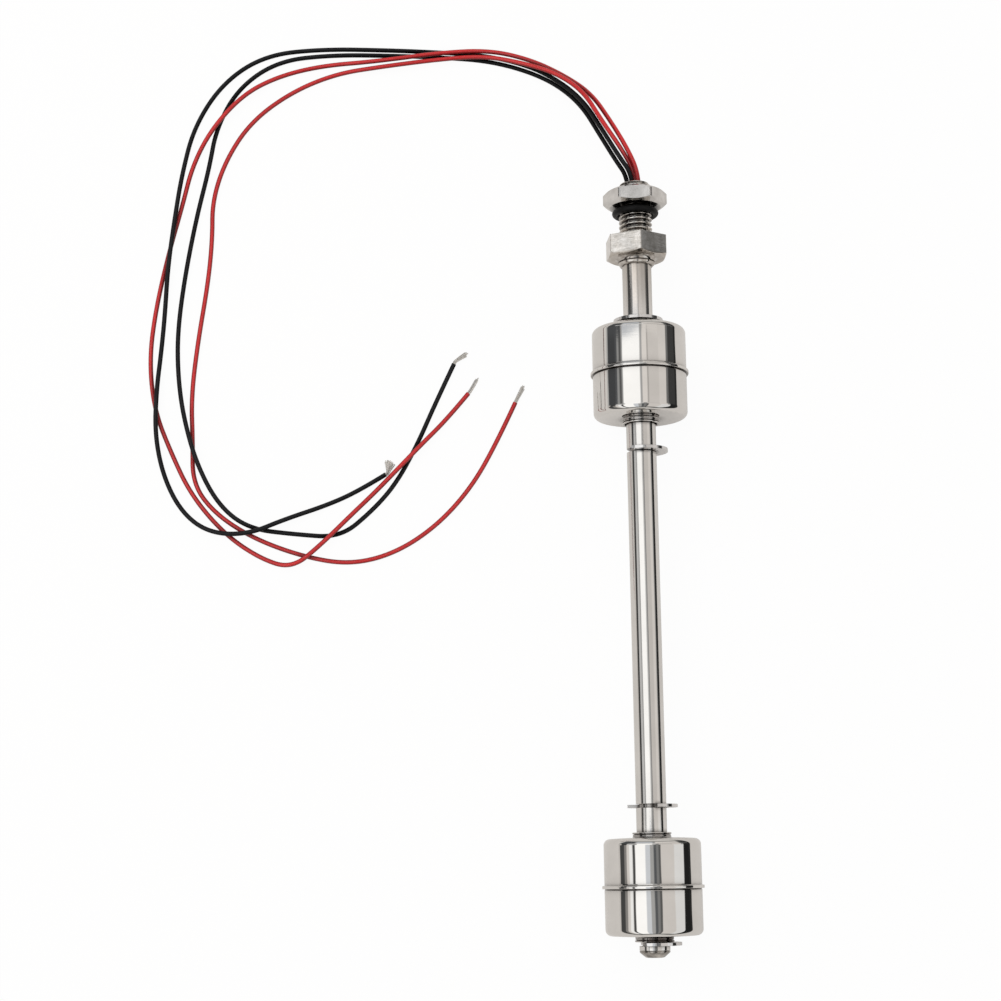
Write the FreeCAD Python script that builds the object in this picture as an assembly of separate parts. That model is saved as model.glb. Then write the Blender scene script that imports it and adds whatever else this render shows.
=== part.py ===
"""Vertical float level switch with two floats, lying on its floats with its lead wires laid out.

Millimetres. The stem lies along Y with its threaded end towards +Y, and Z = 0 is the surface
that the floats and the wires lie on. The origin is half-way along the switch, on that surface.
Places along the switch are stations, measured from the tip of the stem.
"""

import FreeCAD, Part
import math
import os

Vec = FreeCAD.Vector

# Stem: a drawn tube, closed at its tip by a welded plug
STEM_OD = 8.8
STEM_BORE = 5.8
STEM_LENGTH = 206.4          # from the tip to the underside of the hexagon
PLUG_HEAD = 2.0
PLUG_CHAMFER = 1.8
PLUG_SPIGOT = 5.0
SPIGOT_CLEARANCE = 0.03

# Threaded bushing: hexagon, thread relief and M10 shank, turned from one bar
HEX_ACROSS_FLATS = 17.0
HEX_HEIGHT = 6.4
HEX_TURN = -4.5              # degrees from a corner facing straight up
HEX_FACE_D = 16.8            # flat circle left by the chamfer on the underside
THREAD_OD = 10.0
THREAD_LENGTH = 17.2
THREAD_CHAMFER = 0.8
RELIEF_WIDTH = 1.2
RELIEF_DEPTH = 0.9
RELIEF_FACE_DEPTH = 0.2      # of the relief in the hexagon's face
RELIEF_FACE_MARGIN = 0.3     # of the relief in the face beyond the thread
BUSHING_BORE = 6.0
STEM_SEAT_DEPTH = 4.6        # how far the stem goes up into the hexagon
SEAT_CLEARANCE = 0.03
WELD_HEIGHT = 2.4
WELD_WIDTH = 2.0
WELD_BULGE = 0.1

# Lock nut and O-ring on the shank
NUT_ACROSS_FLATS = 17.0
NUT_THICKNESS = 5.0
NUT_FACE_D = 15.5            # flat circle left by the chamfer on each face
NUT_TURN = 33.3              # degrees from a corner facing straight up
NUT_CLEARANCE = 0.05
NUT_FROM_END = 2.4           # shank left free beyond the nut
CHAMFER_ANGLE = 30.0         # of both hexagons
CHAMFER_OVERREACH = 1.0      # of the turned blank beyond the hexagon's corners
ORING_SECTION = 2.0
ORING_GAP = 0.8              # between the ring and the nut
ORING_CLEARANCE = 0.02

# Retaining clips in grooves of the stem
GROOVE_D = 7.0
GROOVE_WIDTH = 1.1
CLIP_THICKNESS = 0.9
CLIP_OD = 14.8
CLIP_SHIFT = 0.4             # of the outer circle away from the mouth
CLIP_RELIEF_D = 10.4         # inside of the arms, between the lugs
CLIP_MOUTH = 5.8             # narrowest part, at the lugs of the two arms
CLIP_MOUTH_FLARE = 68.0      # degrees by which each side of the mouth leans outwards
CLIP_LUG_ANGLE = 36.0        # width of the middle lug
CLIP_TIP_ANGLE = 24.0        # width of the lug at the tip of each arm
CLIP_SEAT_CLEARANCE = 0.03
CLIP_MOUTH_UP = 90.0         # quarter turn that brings the mouth straight up, and the clip upright
LOWER_CLIP_STATION = 3.85    # middle of the clip under the lower float
CLIP_MOUTH_TURN = {          # degrees from straight up, positive towards -X
    "lower_float_bottom_clip": 88.0,
    "lower_float_top_clip": 50.0,
    "upper_float_bottom_clip": 90.0,
    "upper_float_top_clip": 185.0,
}

# Floats: two pressed shells welded round the middle, on a guide tube
FLOAT_OD = 28.0
FLOAT_HALF_BODY = 13.7       # from the seam to the rim of the end face
FLOAT_CORNER = 1.8
FLOAT_DOME = 0.25            # rise of the end face from its rim to the neck
FLOAT_DOME_MIDDLE = 0.65     # share of that rise reached half-way
FLOAT_WALL = 0.3
SEAM_OD = 29.3
SEAM_HALF_WIDTH = 0.45
SEAM_EDGE = 0.15
NECK_OD = 11.0
NECK_HEIGHT = 0.9
NECK_EDGE = 0.2
NECK_CLEARANCE = 0.02
FLOAT_BORE = 9.6
GUIDE_WALL = 0.3
GUIDE_PROUD = 0.6            # rim that the guide tube has beyond each neck
GUIDE_RIM_OD = 11.3
GUIDE_RIM_EDGE = 0.15
TOP_CLIP_BELOW_HEX = 19.55   # from the hexagon's underside to the middle of the upper float's top clip
LOWER_FLOAT_TRAVEL = 7.0     # from its lower clip up to its upper clip
UPPER_FLOAT_TRAVEL = 7.45    # from its upper clip down to its lower clip
FLOAT_REST_GAP = 0.1         # between a float and the clip that stops it

# Ring magnet in each float, between two push-on rings on the guide tube
MAGNET_OD = 15.0
MAGNET_HEIGHT = 6.0
MAGNET_CLEARANCE = 0.05
MAGNET_END_GAP = 0.1
RETAINER_OD = 13.0
RETAINER_THICKNESS = 0.5
RETAINER_CLEARANCE = 0.02

# Reed switches in the stem's bore
GLASS_OD = 2.2
GLASS_BORE = 1.6
GLASS_LENGTH = 14.0
GLASS_END = 1.6              # solid glass round the blade at each end
BLADE_WIDTH = 1.0
BLADE_THICKNESS = 0.25
BLADE_OVERLAP = 1.6
BLADE_CONTACT_GAP = 0.06
BLADE_LEG = 5.0              # part of the blade outside the glass
BLADE_CLEARANCE = 0.01
SLEEVE_OD = 3.0
SLEEVE_BORE = 2.3
SLEEVE_LENGTH = 21.0
SLEEVE_CLEARANCE = 0.05      # between the sleeve and the bore that it lies in

# Inner leads, from the blades up the bore to the potting
LEAD_D = 1.1
LEAD_BEND = 1.2
LEAD_STUB = 2.6              # straight part under a blade before the lead turns back
LEAD_SHIFT_START = 4.0       # straight part over a blade before the lead crosses to its place
LEAD_SHIFT = 12.0            # length over which it crosses
RETURN_PLACE_UPPER = (2.1, 0.15)     # X and Z from the stem's axis
RETURN_PLACE_LOWER = (1.0, 1.75)
DIRECT_PLACE_LOWER = (-1.0, 1.75)

# Potting in the bushing, and the lead wires that leave it
POTTING_RECESS = 2.0
POTTING_DEPTH = 12.0
POTTING_CLEARANCE = 0.02
WIRE_D = 1.4
CORE_D = 0.9
CORE_LENGTH = 6.0

# Places worked out from the dimensions above
TOTAL_LENGTH = STEM_LENGTH + HEX_HEIGHT + THREAD_LENGTH
AXIS_Z = SEAM_OD / 2
HEX_TOP = STEM_LENGTH + HEX_HEIGHT
NUT_TOP = TOTAL_LENGTH - NUT_FROM_END
NUT_BOTTOM = NUT_TOP - NUT_THICKNESS
ORING_STATION = NUT_BOTTOM - ORING_GAP - ORING_SECTION / 2
FLOAT_HALF = FLOAT_HALF_BODY + FLOAT_DOME + NECK_HEIGHT + GUIDE_PROUD
GUIDE_OD = FLOAT_BORE + 2 * GUIDE_WALL
CLIP_TO_SEAM = CLIP_THICKNESS / 2 + FLOAT_REST_GAP + FLOAT_HALF
LOWER_SEAM = LOWER_CLIP_STATION + CLIP_TO_SEAM
UPPER_SEAM = STEM_LENGTH - TOP_CLIP_BELOW_HEX - CLIP_TO_SEAM
CLIP_STATIONS = {
    "lower_float_bottom_clip": LOWER_CLIP_STATION,
    "lower_float_top_clip": LOWER_SEAM + LOWER_FLOAT_TRAVEL + CLIP_TO_SEAM,
    "upper_float_bottom_clip": UPPER_SEAM - UPPER_FLOAT_TRAVEL - CLIP_TO_SEAM,
    "upper_float_top_clip": UPPER_SEAM + CLIP_TO_SEAM,
}
LOWER_REED_STATION = LOWER_SEAM + LOWER_FLOAT_TRAVEL
UPPER_REED_STATION = UPPER_SEAM
REED_PLACE = (0.0, SLEEVE_OD / 2 + SLEEVE_CLEARANCE - STEM_BORE / 2)
BLADE_END = GLASS_LENGTH / 2 + BLADE_LEG
POTTING_TOP = TOTAL_LENGTH - POTTING_RECESS
POTTING_BOTTOM = POTTING_TOP - POTTING_DEPTH
WIRE_START_Y = POTTING_TOP - TOTAL_LENGTH / 2
FLOOR = WIRE_D / 2           # height of a wire that lies on the surface
OVER = 2.4                   # height of a wire that lies over another one

# Routes of the lead wires, from the potting to the end of the insulation
WIRE_ROUTES = {
    "black_wire_1": [
        (-0.7, WIRE_START_Y, 15.6), (-0.7, 117.9, 15.6), (-4.4, 124.0, 14.7), (-9.3, 133.5, 12.6),
        (-14.6, 143.8, 9.7), (-22.1, 152.1, 5.9), (-31.6, 158.6, 2.4), (-44.5, 162.7, FLOOR),
        (-58.0, 163.9, FLOOR), (-75.0, 164.95, FLOOR), (-96.0, 165.7, FLOOR), (-114.0, 164.0, FLOOR),
        (-127.2, 155.2, FLOOR), (-136.2, 140.8, FLOOR), (-139.9, 125.0, FLOOR), (-141.6, 111.0, OVER),
        (-143.6, 95.0, OVER), (-144.6, 80.0, FLOOR), (-145.6, 68.0, FLOOR), (-146.6, 56.0, OVER),
        (-146.9, 42.0, OVER), (-144.3, 29.0, FLOOR), (-138.5, 18.0, FLOOR), (-130.0, 11.6, OVER),
        (-118.5, 11.0, OVER), (-107.6, 15.4, OVER), (-94.4, 20.0, FLOOR), (-85.0, 24.2, FLOOR),
        (-76.9, 29.1, FLOOR),
    ],
    "black_wire_2": [
        (-2.0, WIRE_START_Y, 14.1), (-2.0, 117.6, 14.1), (-5.4, 123.2, 13.4), (-10.2, 132.7, 11.2),
        (-15.3, 143.1, 8.3), (-22.9, 151.6, 4.3), (-32.4, 157.4, 1.3), (-44.0, 160.9, FLOOR),
        (-57.0, 162.2, FLOOR), (-74.0, 163.15, FLOOR), (-93.0, 163.7, FLOOR), (-110.0, 162.0, FLOOR),
        (-122.5, 153.2, FLOOR), (-129.3, 140.0, FLOOR), (-131.4, 127.0, FLOOR), (-135.2, 111.0, FLOOR),
        (-138.6, 92.0, FLOOR), (-140.6, 75.0, FLOOR), (-140.4, 61.5, FLOOR), (-138.4, 48.0, OVER),
        (-134.2, 33.0, OVER), (-127.6, 20.3, FLOOR), (-118.4, 13.0, FLOOR), (-104.5, 11.1, FLOOR),
        (-90.8, 9.9, FLOOR), (-81.2, 17.8, FLOOR), (-73.9, 26.0, FLOOR), (-67.4, 37.8, FLOOR),
        (-61.6, 51.0, FLOOR), (-55.8, 63.2, FLOOR),
    ],
    "red_wire_1": [
        (1.25, WIRE_START_Y, 15.3), (1.25, 118.4, 15.3), (-1.8, 126.2, 15.2), (-6.9, 136.6, 12.6),
        (-12.3, 146.7, 8.8), (-20.5, 154.1, 5.3), (-30.9, 160.0, 3.8), (-43.5, 163.8, OVER),
        (-58.5, 163.3, OVER), (-79.0, 160.7, OVER), (-96.0, 160.2, FLOOR), (-109.6, 157.0, FLOOR),
        (-120.6, 150.6, OVER), (-130.4, 139.5, OVER), (-136.6, 128.0, FLOOR), (-139.6, 115.0, FLOOR),
        (-143.6, 100.0, FLOOR), (-147.4, 82.0, FLOOR), (-149.2, 66.0, FLOOR), (-147.4, 50.0, FLOOR),
        (-142.0, 36.4, FLOOR), (-135.9, 23.6, FLOOR), (-125.9, 11.6, FLOOR), (-115.0, 3.9, FLOOR),
        (-105.2, 0.4, OVER), (-96.5, 7.5, OVER), (-87.4, 16.4, OVER), (-79.8, 24.0, FLOOR),
        (-72.7, 30.9, OVER), (-65.6, 38.2, OVER), (-58.2, 45.9, FLOOR), (-51.5, 53.9, FLOOR),
    ],
    "red_wire_2": [
        (0.45, WIRE_START_Y, 13.7), (0.45, 118.9, 13.7), (-3.5, 126.3, 14.5), (-9.5, 136.2, 13.5),
        (-14.7, 147.0, 10.0), (-22.9, 154.2, 7.0), (-33.4, 158.7, 4.4), (-45.5, 162.0, OVER),
        (-60.0, 161.0, OVER), (-77.5, 158.9, OVER), (-92.0, 157.4, FLOOR), (-106.0, 151.5, FLOOR),
        (-118.5, 142.0, FLOOR), (-126.3, 129.5, FLOOR), (-130.3, 116.5, FLOOR), (-130.2, 104.0, FLOOR),
        (-131.4, 90.0, FLOOR), (-134.4, 71.0, FLOOR), (-136.2, 54.0, FLOOR), (-135.6, 40.0, FLOOR),
        (-135.5, 27.2, FLOOR), (-128.9, 18.0, FLOOR), (-117.2, 10.1, FLOOR), (-102.2, 4.3, FLOOR),
        (-88.0, 1.6, FLOOR), (-74.5, 4.7, FLOOR), (-61.8, 12.8, FLOOR), (-51.2, 24.3, FLOOR),
        (-43.2, 38.1, FLOOR), (-37.2, 50.8, FLOOR),
    ],
}


def y_of(station):
    """Row Y of a station along the switch."""
    return station - TOTAL_LENGTH / 2


def on_axis(station):
    """Point on the stem's axis."""
    return Vec(0, y_of(station), AXIS_Z)


def beside_axis(place, station):
    """Point at (X, Z) from the stem's axis."""
    return Vec(place[0], y_of(station), AXIS_Z + place[1])


def cylinder(radius, start, length):
    """Cylinder round the stem's axis, from a station towards the threaded end."""
    return Part.makeCylinder(radius, length, on_axis(start), Vec(0, 1, 0))


def ring(outer_radius, inner_radius, start, length):
    return cylinder(outer_radius, start, length).cut(cylinder(inner_radius, start, length))


def outline_point(point):
    """Point of a turned outline, given as radius and station."""
    return Vec(point[0], y_of(point[1]), AXIS_Z)


def line(a, b):
    return Part.LineSegment(outline_point(a), outline_point(b)).toShape()


def arc(a, middle, b):
    return Part.Arc(outline_point(a), outline_point(middle), outline_point(b)).toShape()


def closed_outline(points):
    return [line(a, b) for a, b in zip(points, points[1:] + points[:1])]


def turned(edges):
    """Solid of revolution round the stem's axis."""
    return Part.Face(Part.Wire(edges)).revolve(on_axis(0), Vec(0, 1, 0), 360)


def hex_bar(across_flats, turn, start, height):
    """Hexagon round the stem's axis, with a corner straight up at a turn of 0."""
    corner_radius = across_flats / math.sqrt(3)
    corners = []
    for i in range(6):
        angle = math.radians(90 + turn + 60 * i)
        corners.append(beside_axis((corner_radius * math.cos(angle), corner_radius * math.sin(angle)), start))
    return Part.Face(Part.makePolygon(corners + corners[:1])).extrude(Vec(0, height, 0))


def chamfer_blank(across_flats, face_d, start, height, both_ends):
    """Turned blank whose cones chamfer a hexagon bar at its lower end or at both ends."""
    reach = across_flats / math.sqrt(3) + CHAMFER_OVERREACH
    rise = (reach - face_d / 2) * math.tan(math.radians(CHAMFER_ANGLE))
    end = start + height
    points = [(0, start), (face_d / 2, start), (reach, start + rise)]
    if both_ends:
        points += [(reach, end - rise), (face_d / 2, end)]
    else:
        points += [(reach, end)]
    return turned(closed_outline(points + [(0, end)]))


def stem_tube():
    """Drawn tube with a groove for each clip, open at both ends."""
    end = STEM_LENGTH + STEM_SEAT_DEPTH
    tube = ring(STEM_OD / 2, STEM_BORE / 2, PLUG_HEAD, end - PLUG_HEAD)
    for station in CLIP_STATIONS.values():
        tube = tube.cut(ring(STEM_OD, GROOVE_D / 2, station - GROOVE_WIDTH / 2, GROOVE_WIDTH))
    return tube


def end_plug():
    """Chamfered nose with a spigot inside the stem."""
    outer = STEM_OD / 2
    spigot = STEM_BORE / 2 - SPIGOT_CLEARANCE
    points = [(0, 0), (outer - PLUG_CHAMFER, 0), (outer, PLUG_CHAMFER), (outer, PLUG_HEAD),
              (spigot, PLUG_HEAD), (spigot, PLUG_HEAD + PLUG_SPIGOT), (0, PLUG_HEAD + PLUG_SPIGOT)]
    return turned(closed_outline(points))


def threaded_bushing():
    """Hexagon with its chamfered underside, thread relief, shank, bore and seat for the stem."""
    hexagon = hex_bar(HEX_ACROSS_FLATS, HEX_TURN, STEM_LENGTH, HEX_HEIGHT)
    hexagon = hexagon.common(chamfer_blank(HEX_ACROSS_FLATS, HEX_FACE_D, STEM_LENGTH, HEX_HEIGHT, False))
    shank_r = THREAD_OD / 2
    root_r = shank_r - RELIEF_DEPTH
    thread_start = HEX_TOP + RELIEF_WIDTH
    face_relief = cylinder(shank_r + RELIEF_FACE_MARGIN, HEX_TOP - RELIEF_FACE_DEPTH, RELIEF_FACE_DEPTH)
    shank = turned(closed_outline([
        (0, STEM_LENGTH), (root_r, STEM_LENGTH), (root_r, thread_start), (shank_r, thread_start + RELIEF_DEPTH),
        (shank_r, TOTAL_LENGTH - THREAD_CHAMFER), (shank_r - THREAD_CHAMFER, TOTAL_LENGTH), (0, TOTAL_LENGTH)]))
    bore = cylinder(BUSHING_BORE / 2, STEM_LENGTH, HEX_HEIGHT + THREAD_LENGTH)
    seat = cylinder(STEM_OD / 2 + SEAT_CLEARANCE, STEM_LENGTH, STEM_SEAT_DEPTH)
    return hexagon.cut(face_relief).fuse(shank).cut(bore).cut(seat).removeSplitter()


def weld_bead():
    """Fillet weld between the hexagon's underside and the stem."""
    inner = STEM_OD / 2 + SEAT_CLEARANCE
    toe = (inner + WELD_WIDTH, STEM_LENGTH)
    foot = (inner, STEM_LENGTH - WELD_HEIGHT)
    crown = (inner + WELD_WIDTH / 2 + WELD_BULGE, STEM_LENGTH - WELD_HEIGHT / 2 - WELD_BULGE)
    corner = (inner, STEM_LENGTH)
    return turned([line(corner, toe), arc(toe, crown, foot), line(foot, corner)])


def lock_nut():
    """Thin hexagon nut, chamfered on both faces."""
    bar = hex_bar(NUT_ACROSS_FLATS, NUT_TURN, NUT_BOTTOM, NUT_THICKNESS)
    nut = bar.common(chamfer_blank(NUT_ACROSS_FLATS, NUT_FACE_D, NUT_BOTTOM, NUT_THICKNESS, True))
    return nut.cut(cylinder(THREAD_OD / 2 + NUT_CLEARANCE, NUT_BOTTOM, NUT_THICKNESS))


def sealing_ring():
    """O-ring on the shank, a little under the nut."""
    middle_radius = THREAD_OD / 2 + ORING_CLEARANCE + ORING_SECTION / 2
    return Part.makeTorus(middle_radius, ORING_SECTION / 2, on_axis(ORING_STATION), Vec(0, 1, 0))


def retaining_clip(name):
    """E-clip: an open ring with three lugs that reach into the stem's groove. It is made with its
    mouth towards +X and then turned."""
    seat = GROOVE_D / 2 + CLIP_SEAT_CLEARANCE
    outer = CLIP_OD / 2
    start = Vec(0, 0, -CLIP_THICKNESS / 2)
    up = Vec(0, 0, 1)
    clip = Part.makeCylinder(outer, CLIP_THICKNESS, start + Vec(-CLIP_SHIFT, 0, 0), up)
    clip = clip.cut(Part.makeCylinder(seat, CLIP_THICKNESS, start, up))
    half_mouth = CLIP_MOUTH / 2
    tip_x = math.sqrt(seat ** 2 - half_mouth ** 2)
    tip_end = math.degrees(math.asin(half_mouth / seat)) + CLIP_TIP_ANGLE
    lug_start = 180 - CLIP_LUG_ANGLE / 2
    for first in (tip_end, -lug_start):
        relief = Part.makeCylinder(CLIP_RELIEF_D / 2, CLIP_THICKNESS, start, up, lug_start - tip_end)
        relief.rotate(Vec(0, 0, 0), up, first)
        clip = clip.cut(relief)
    wide = half_mouth + outer * math.tan(math.radians(CLIP_MOUTH_FLARE))
    mouth = [Vec(tip_x, -half_mouth, 0), Vec(tip_x + outer, -wide, 0), Vec(tip_x + outer, wide, 0),
             Vec(tip_x, half_mouth, 0), Vec(0, half_mouth, 0), Vec(0, -half_mouth, 0)]
    mouth = [start + corner for corner in mouth]
    clip = clip.cut(Part.Face(Part.makePolygon(mouth + mouth[:1])).extrude(Vec(0, 0, CLIP_THICKNESS)))
    clip.rotate(Vec(0, 0, 0), up, CLIP_MOUTH_UP + CLIP_MOUTH_TURN[name])
    clip.rotate(Vec(0, 0, 0), Vec(1, 0, 0), CLIP_MOUTH_UP)
    clip.translate(on_axis(CLIP_STATIONS[name]))
    return clip


def float_shell(seam, side):
    """Pressed half of a float; side is 1 towards the threaded end and -1 towards the tip."""
    body = FLOAT_OD / 2
    rim = body - FLOAT_CORNER
    shoulder = FLOAT_HALF_BODY - FLOAT_CORNER
    root = FLOAT_HALF_BODY + FLOAT_DOME
    top = root + NECK_HEIGHT
    neck = NECK_OD / 2
    bore = GUIDE_OD / 2 + NECK_CLEARANCE
    slant = math.sqrt(0.5)

    def at(radius, distance):
        return (radius, seam + side * distance)

    def corner_arc(radius, outwards):
        bend = (rim + radius * slant, shoulder + radius * slant)
        ends = [at(rim + radius, shoulder), at(rim, shoulder + radius)]
        return arc(ends[0], at(*bend), ends[1]) if outwards else arc(ends[1], at(*bend), ends[0])

    def dome(drop, neck_radius, outwards):
        edge = at(rim, FLOAT_HALF_BODY - drop)
        middle = at((rim + neck_radius) / 2, FLOAT_HALF_BODY + FLOAT_DOME_MIDDLE * FLOAT_DOME - drop)
        inner = at(neck_radius, root - drop)
        return arc(edge, middle, inner) if outwards else arc(inner, middle, edge)

    inside = body - FLOAT_WALL
    edges = [
        line(at(inside, 0), at(SEAM_OD / 2, 0)),
        line(at(SEAM_OD / 2, 0), at(SEAM_OD / 2, SEAM_HALF_WIDTH - SEAM_EDGE)),
        line(at(SEAM_OD / 2, SEAM_HALF_WIDTH - SEAM_EDGE), at(SEAM_OD / 2 - SEAM_EDGE, SEAM_HALF_WIDTH)),
        line(at(SEAM_OD / 2 - SEAM_EDGE, SEAM_HALF_WIDTH), at(body, SEAM_HALF_WIDTH)),
        line(at(body, SEAM_HALF_WIDTH), at(body, shoulder)),
        corner_arc(FLOAT_CORNER, True),
        dome(0, neck, True),
        line(at(neck, root), at(neck, top - NECK_EDGE)),
        line(at(neck, top - NECK_EDGE), at(neck - NECK_EDGE, top)),
        line(at(neck - NECK_EDGE, top), at(bore, top)),
        line(at(bore, top), at(bore, root - FLOAT_WALL)),
        dome(FLOAT_WALL, bore, False),
        corner_arc(FLOAT_CORNER - FLOAT_WALL, False),
        line(at(inside, shoulder), at(inside, 0)),
    ]
    return turned(edges)


def guide_tube(seam):
    """Tube that the float slides on, flared to a rim over the neck at each end."""
    tube = GUIDE_OD / 2
    bore = FLOAT_BORE / 2
    rim = GUIDE_RIM_OD / 2
    edge = GUIDE_RIM_EDGE
    neck_end = FLOAT_HALF - GUIDE_PROUD + NECK_CLEARANCE
    upper_half = [(tube, neck_end), (rim - edge, neck_end), (rim, neck_end + edge),
                  (rim, FLOAT_HALF - edge), (rim - edge, FLOAT_HALF), (bore, FLOAT_HALF)]
    lower_half = [(radius, -distance) for radius, distance in reversed(upper_half)]
    return turned(closed_outline([(radius, seam + distance) for radius, distance in upper_half + lower_half]))


def float_magnet(seam):
    inner = GUIDE_OD / 2 + MAGNET_CLEARANCE
    return ring(MAGNET_OD / 2, inner, seam - MAGNET_HEIGHT / 2, MAGNET_HEIGHT)


def magnet_retainers(seam):
    """Push-on ring at each end of the magnet."""
    inner = GUIDE_OD / 2 + RETAINER_CLEARANCE
    offset = MAGNET_HEIGHT / 2 + MAGNET_END_GAP
    lower = ring(RETAINER_OD / 2, inner, seam - offset - RETAINER_THICKNESS, RETAINER_THICKNESS)
    upper = ring(RETAINER_OD / 2, inner, seam + offset, RETAINER_THICKNESS)
    return Part.makeCompound([lower, upper])


def reed_cylinder(diameter, station, length):
    """Cylinder round the reed switch's own axis, centred on a station."""
    return Part.makeCylinder(diameter / 2, length, beside_axis(REED_PLACE, station - length / 2), Vec(0, 1, 0))


def blade_box(station, side, clearance):
    """Contact blade as a strip from its outer end to the overlap in the middle of the glass."""
    width = BLADE_WIDTH + 2 * clearance
    height = BLADE_THICKNESS + 2 * clearance
    middle = side * (BLADE_THICKNESS + BLADE_CONTACT_GAP) / 2
    length = BLADE_END + BLADE_OVERLAP / 2
    first = station - BLADE_OVERLAP / 2 if side > 0 else station - BLADE_END
    corner = beside_axis((REED_PLACE[0] - width / 2, REED_PLACE[1] + middle - height / 2), first)
    return Part.makeBox(width, length, height, corner)


def reed_glass(station):
    """Closed glass tube, sealed round the blades at both ends."""
    cavity = reed_cylinder(GLASS_BORE, station, GLASS_LENGTH - 2 * GLASS_END)
    glass = reed_cylinder(GLASS_OD, station, GLASS_LENGTH).cut(cavity)
    for side in (1, -1):
        glass = glass.cut(blade_box(station, side, BLADE_CLEARANCE))
    return glass


def reed_blades(station):
    return Part.makeCompound([blade_box(station, side, 0) for side in (1, -1)])


def reed_sleeve(station):
    sleeve = reed_cylinder(SLEEVE_OD, station, SLEEVE_LENGTH)
    return sleeve.cut(reed_cylinder(SLEEVE_BORE, station, SLEEVE_LENGTH))


def potting():
    """Resin that fills the bushing's bore round the ends of the wires and leads."""
    return cylinder(BUSHING_BORE / 2 - POTTING_CLEARANCE, POTTING_BOTTOM, POTTING_DEPTH)


def rounded_path(points, bend=None):
    """Straight runs joined by tangent arcs. Without a stated bend each arc is as large as its
    two runs allow. Returns the edges and the arcs' radii."""
    edges, radii = [], []
    start = points[0]
    for before, corner, after in zip(points, points[1:], points[2:]):
        back, ahead = before - corner, after - corner
        shorter = min(back.Length, ahead.Length)
        back.normalize()
        ahead.normalize()
        half_turn = (math.pi - back.getAngle(ahead)) / 2
        radius = bend or 0.45 * shorter / math.tan(half_turn)
        setback = radius * math.tan(half_turn)
        inward = (back + ahead).normalize()
        arc_start, arc_end = corner + back * setback, corner + ahead * setback
        arc_middle = corner + inward * (radius / math.cos(half_turn) - radius)
        edges.append(Part.LineSegment(start, arc_start).toShape())
        edges.append(Part.Arc(arc_start, arc_middle, arc_end).toShape())
        radii.append(radius)
        start = arc_end
    edges.append(Part.LineSegment(start, points[-1]).toShape())
    return edges, radii


def swept_round(points, diameter, bend=None):
    """Round bar along a rounded path. Returns the solid, its length and the arcs' radii."""
    edges, radii = rounded_path(points, bend)
    path = Part.Wire(edges)
    section = Part.Wire(Part.makeCircle(diameter / 2, points[0], points[1] - points[0]))
    return path.makePipeShell([section], True, False), path.Length, radii


def lead_wire(name):
    """Insulated lead wire along its route, with its radii and volume printed."""
    points = [Vec(*point) for point in WIRE_ROUTES[name]]
    wire, length, radii = swept_round(points, WIRE_D)
    section = math.pi * WIRE_D ** 2 / 4
    print("%s: length %.1f, volume over section x length %.4f" % (name, length, wire.Volume / section / length))
    print("  radii " + " ".join("%.1f" % radius for radius in radii))
    return wire


def wire_core(name):
    """Bare tinned strands beyond the end of the insulation, as one bar."""
    before, end = [Vec(*point) for point in WIRE_ROUTES[name][-2:]]
    return Part.makeCylinder(CORE_D / 2, CORE_LENGTH, end, end - before)


def direct_lead(station, place):
    """Lead from the blade's upper end up to the potting."""
    start = station + BLADE_END
    points = [beside_axis(REED_PLACE, start)]
    if place != REED_PLACE:
        points.append(beside_axis(REED_PLACE, start + LEAD_SHIFT_START))
        points.append(beside_axis(place, start + LEAD_SHIFT_START + LEAD_SHIFT))
    points.append(beside_axis(place, POTTING_BOTTOM))
    return swept_round(points, LEAD_D, LEAD_BEND)[0]


def return_lead(station, place):
    """Lead from the blade's lower end, turned back and up beside the reed switch."""
    start = station - BLADE_END
    points = [beside_axis(REED_PLACE, start), beside_axis(REED_PLACE, start - LEAD_STUB),
              beside_axis(place, start - LEAD_STUB), beside_axis(place, POTTING_BOTTOM)]
    return swept_round(points, LEAD_D, LEAD_BEND)[0]


def build():
    """All nodes of the switch, by name."""
    nodes = {
        "stem_tube": stem_tube(),
        "end_plug": end_plug(),
        "threaded_bushing": threaded_bushing(),
        "weld_bead": weld_bead(),
        "lock_nut": lock_nut(),
        "sealing_ring": sealing_ring(),
        "potting": potting(),
        "upper_reed_direct_lead": direct_lead(UPPER_REED_STATION, REED_PLACE),
        "upper_reed_return_lead": return_lead(UPPER_REED_STATION, RETURN_PLACE_UPPER),
        "lower_reed_direct_lead": direct_lead(LOWER_REED_STATION, DIRECT_PLACE_LOWER),
        "lower_reed_return_lead": return_lead(LOWER_REED_STATION, RETURN_PLACE_LOWER),
    }
    for name in CLIP_STATIONS:
        nodes[name] = retaining_clip(name)
    for which, seam, reed in (("upper", UPPER_SEAM, UPPER_REED_STATION), ("lower", LOWER_SEAM, LOWER_REED_STATION)):
        nodes[which + "_float_upper_shell"] = float_shell(seam, 1)
        nodes[which + "_float_lower_shell"] = float_shell(seam, -1)
        nodes[which + "_float_guide_tube"] = guide_tube(seam)
        nodes[which + "_float_magnet"] = float_magnet(seam)
        nodes[which + "_float_magnet_retainers"] = magnet_retainers(seam)
        nodes[which + "_reed_glass"] = reed_glass(reed)
        nodes[which + "_reed_blades"] = reed_blades(reed)
        nodes[which + "_reed_sleeve"] = reed_sleeve(reed)
    for name in WIRE_ROUTES:
        nodes[name] = lead_wire(name)
        nodes[name.replace("wire", "core")] = wire_core(name)
    return nodes


os.makedirs("parts", exist_ok=True)
for node_name, node_shape in build().items():
    node_shape.exportStep("parts/%s.step" % node_name)
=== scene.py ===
"""Vertical float level switch with two floats, lying on its floats with its lead wires laid out."""

import math
import random

import bmesh
import bpy
from mathutils import Matrix, Vector


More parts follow.
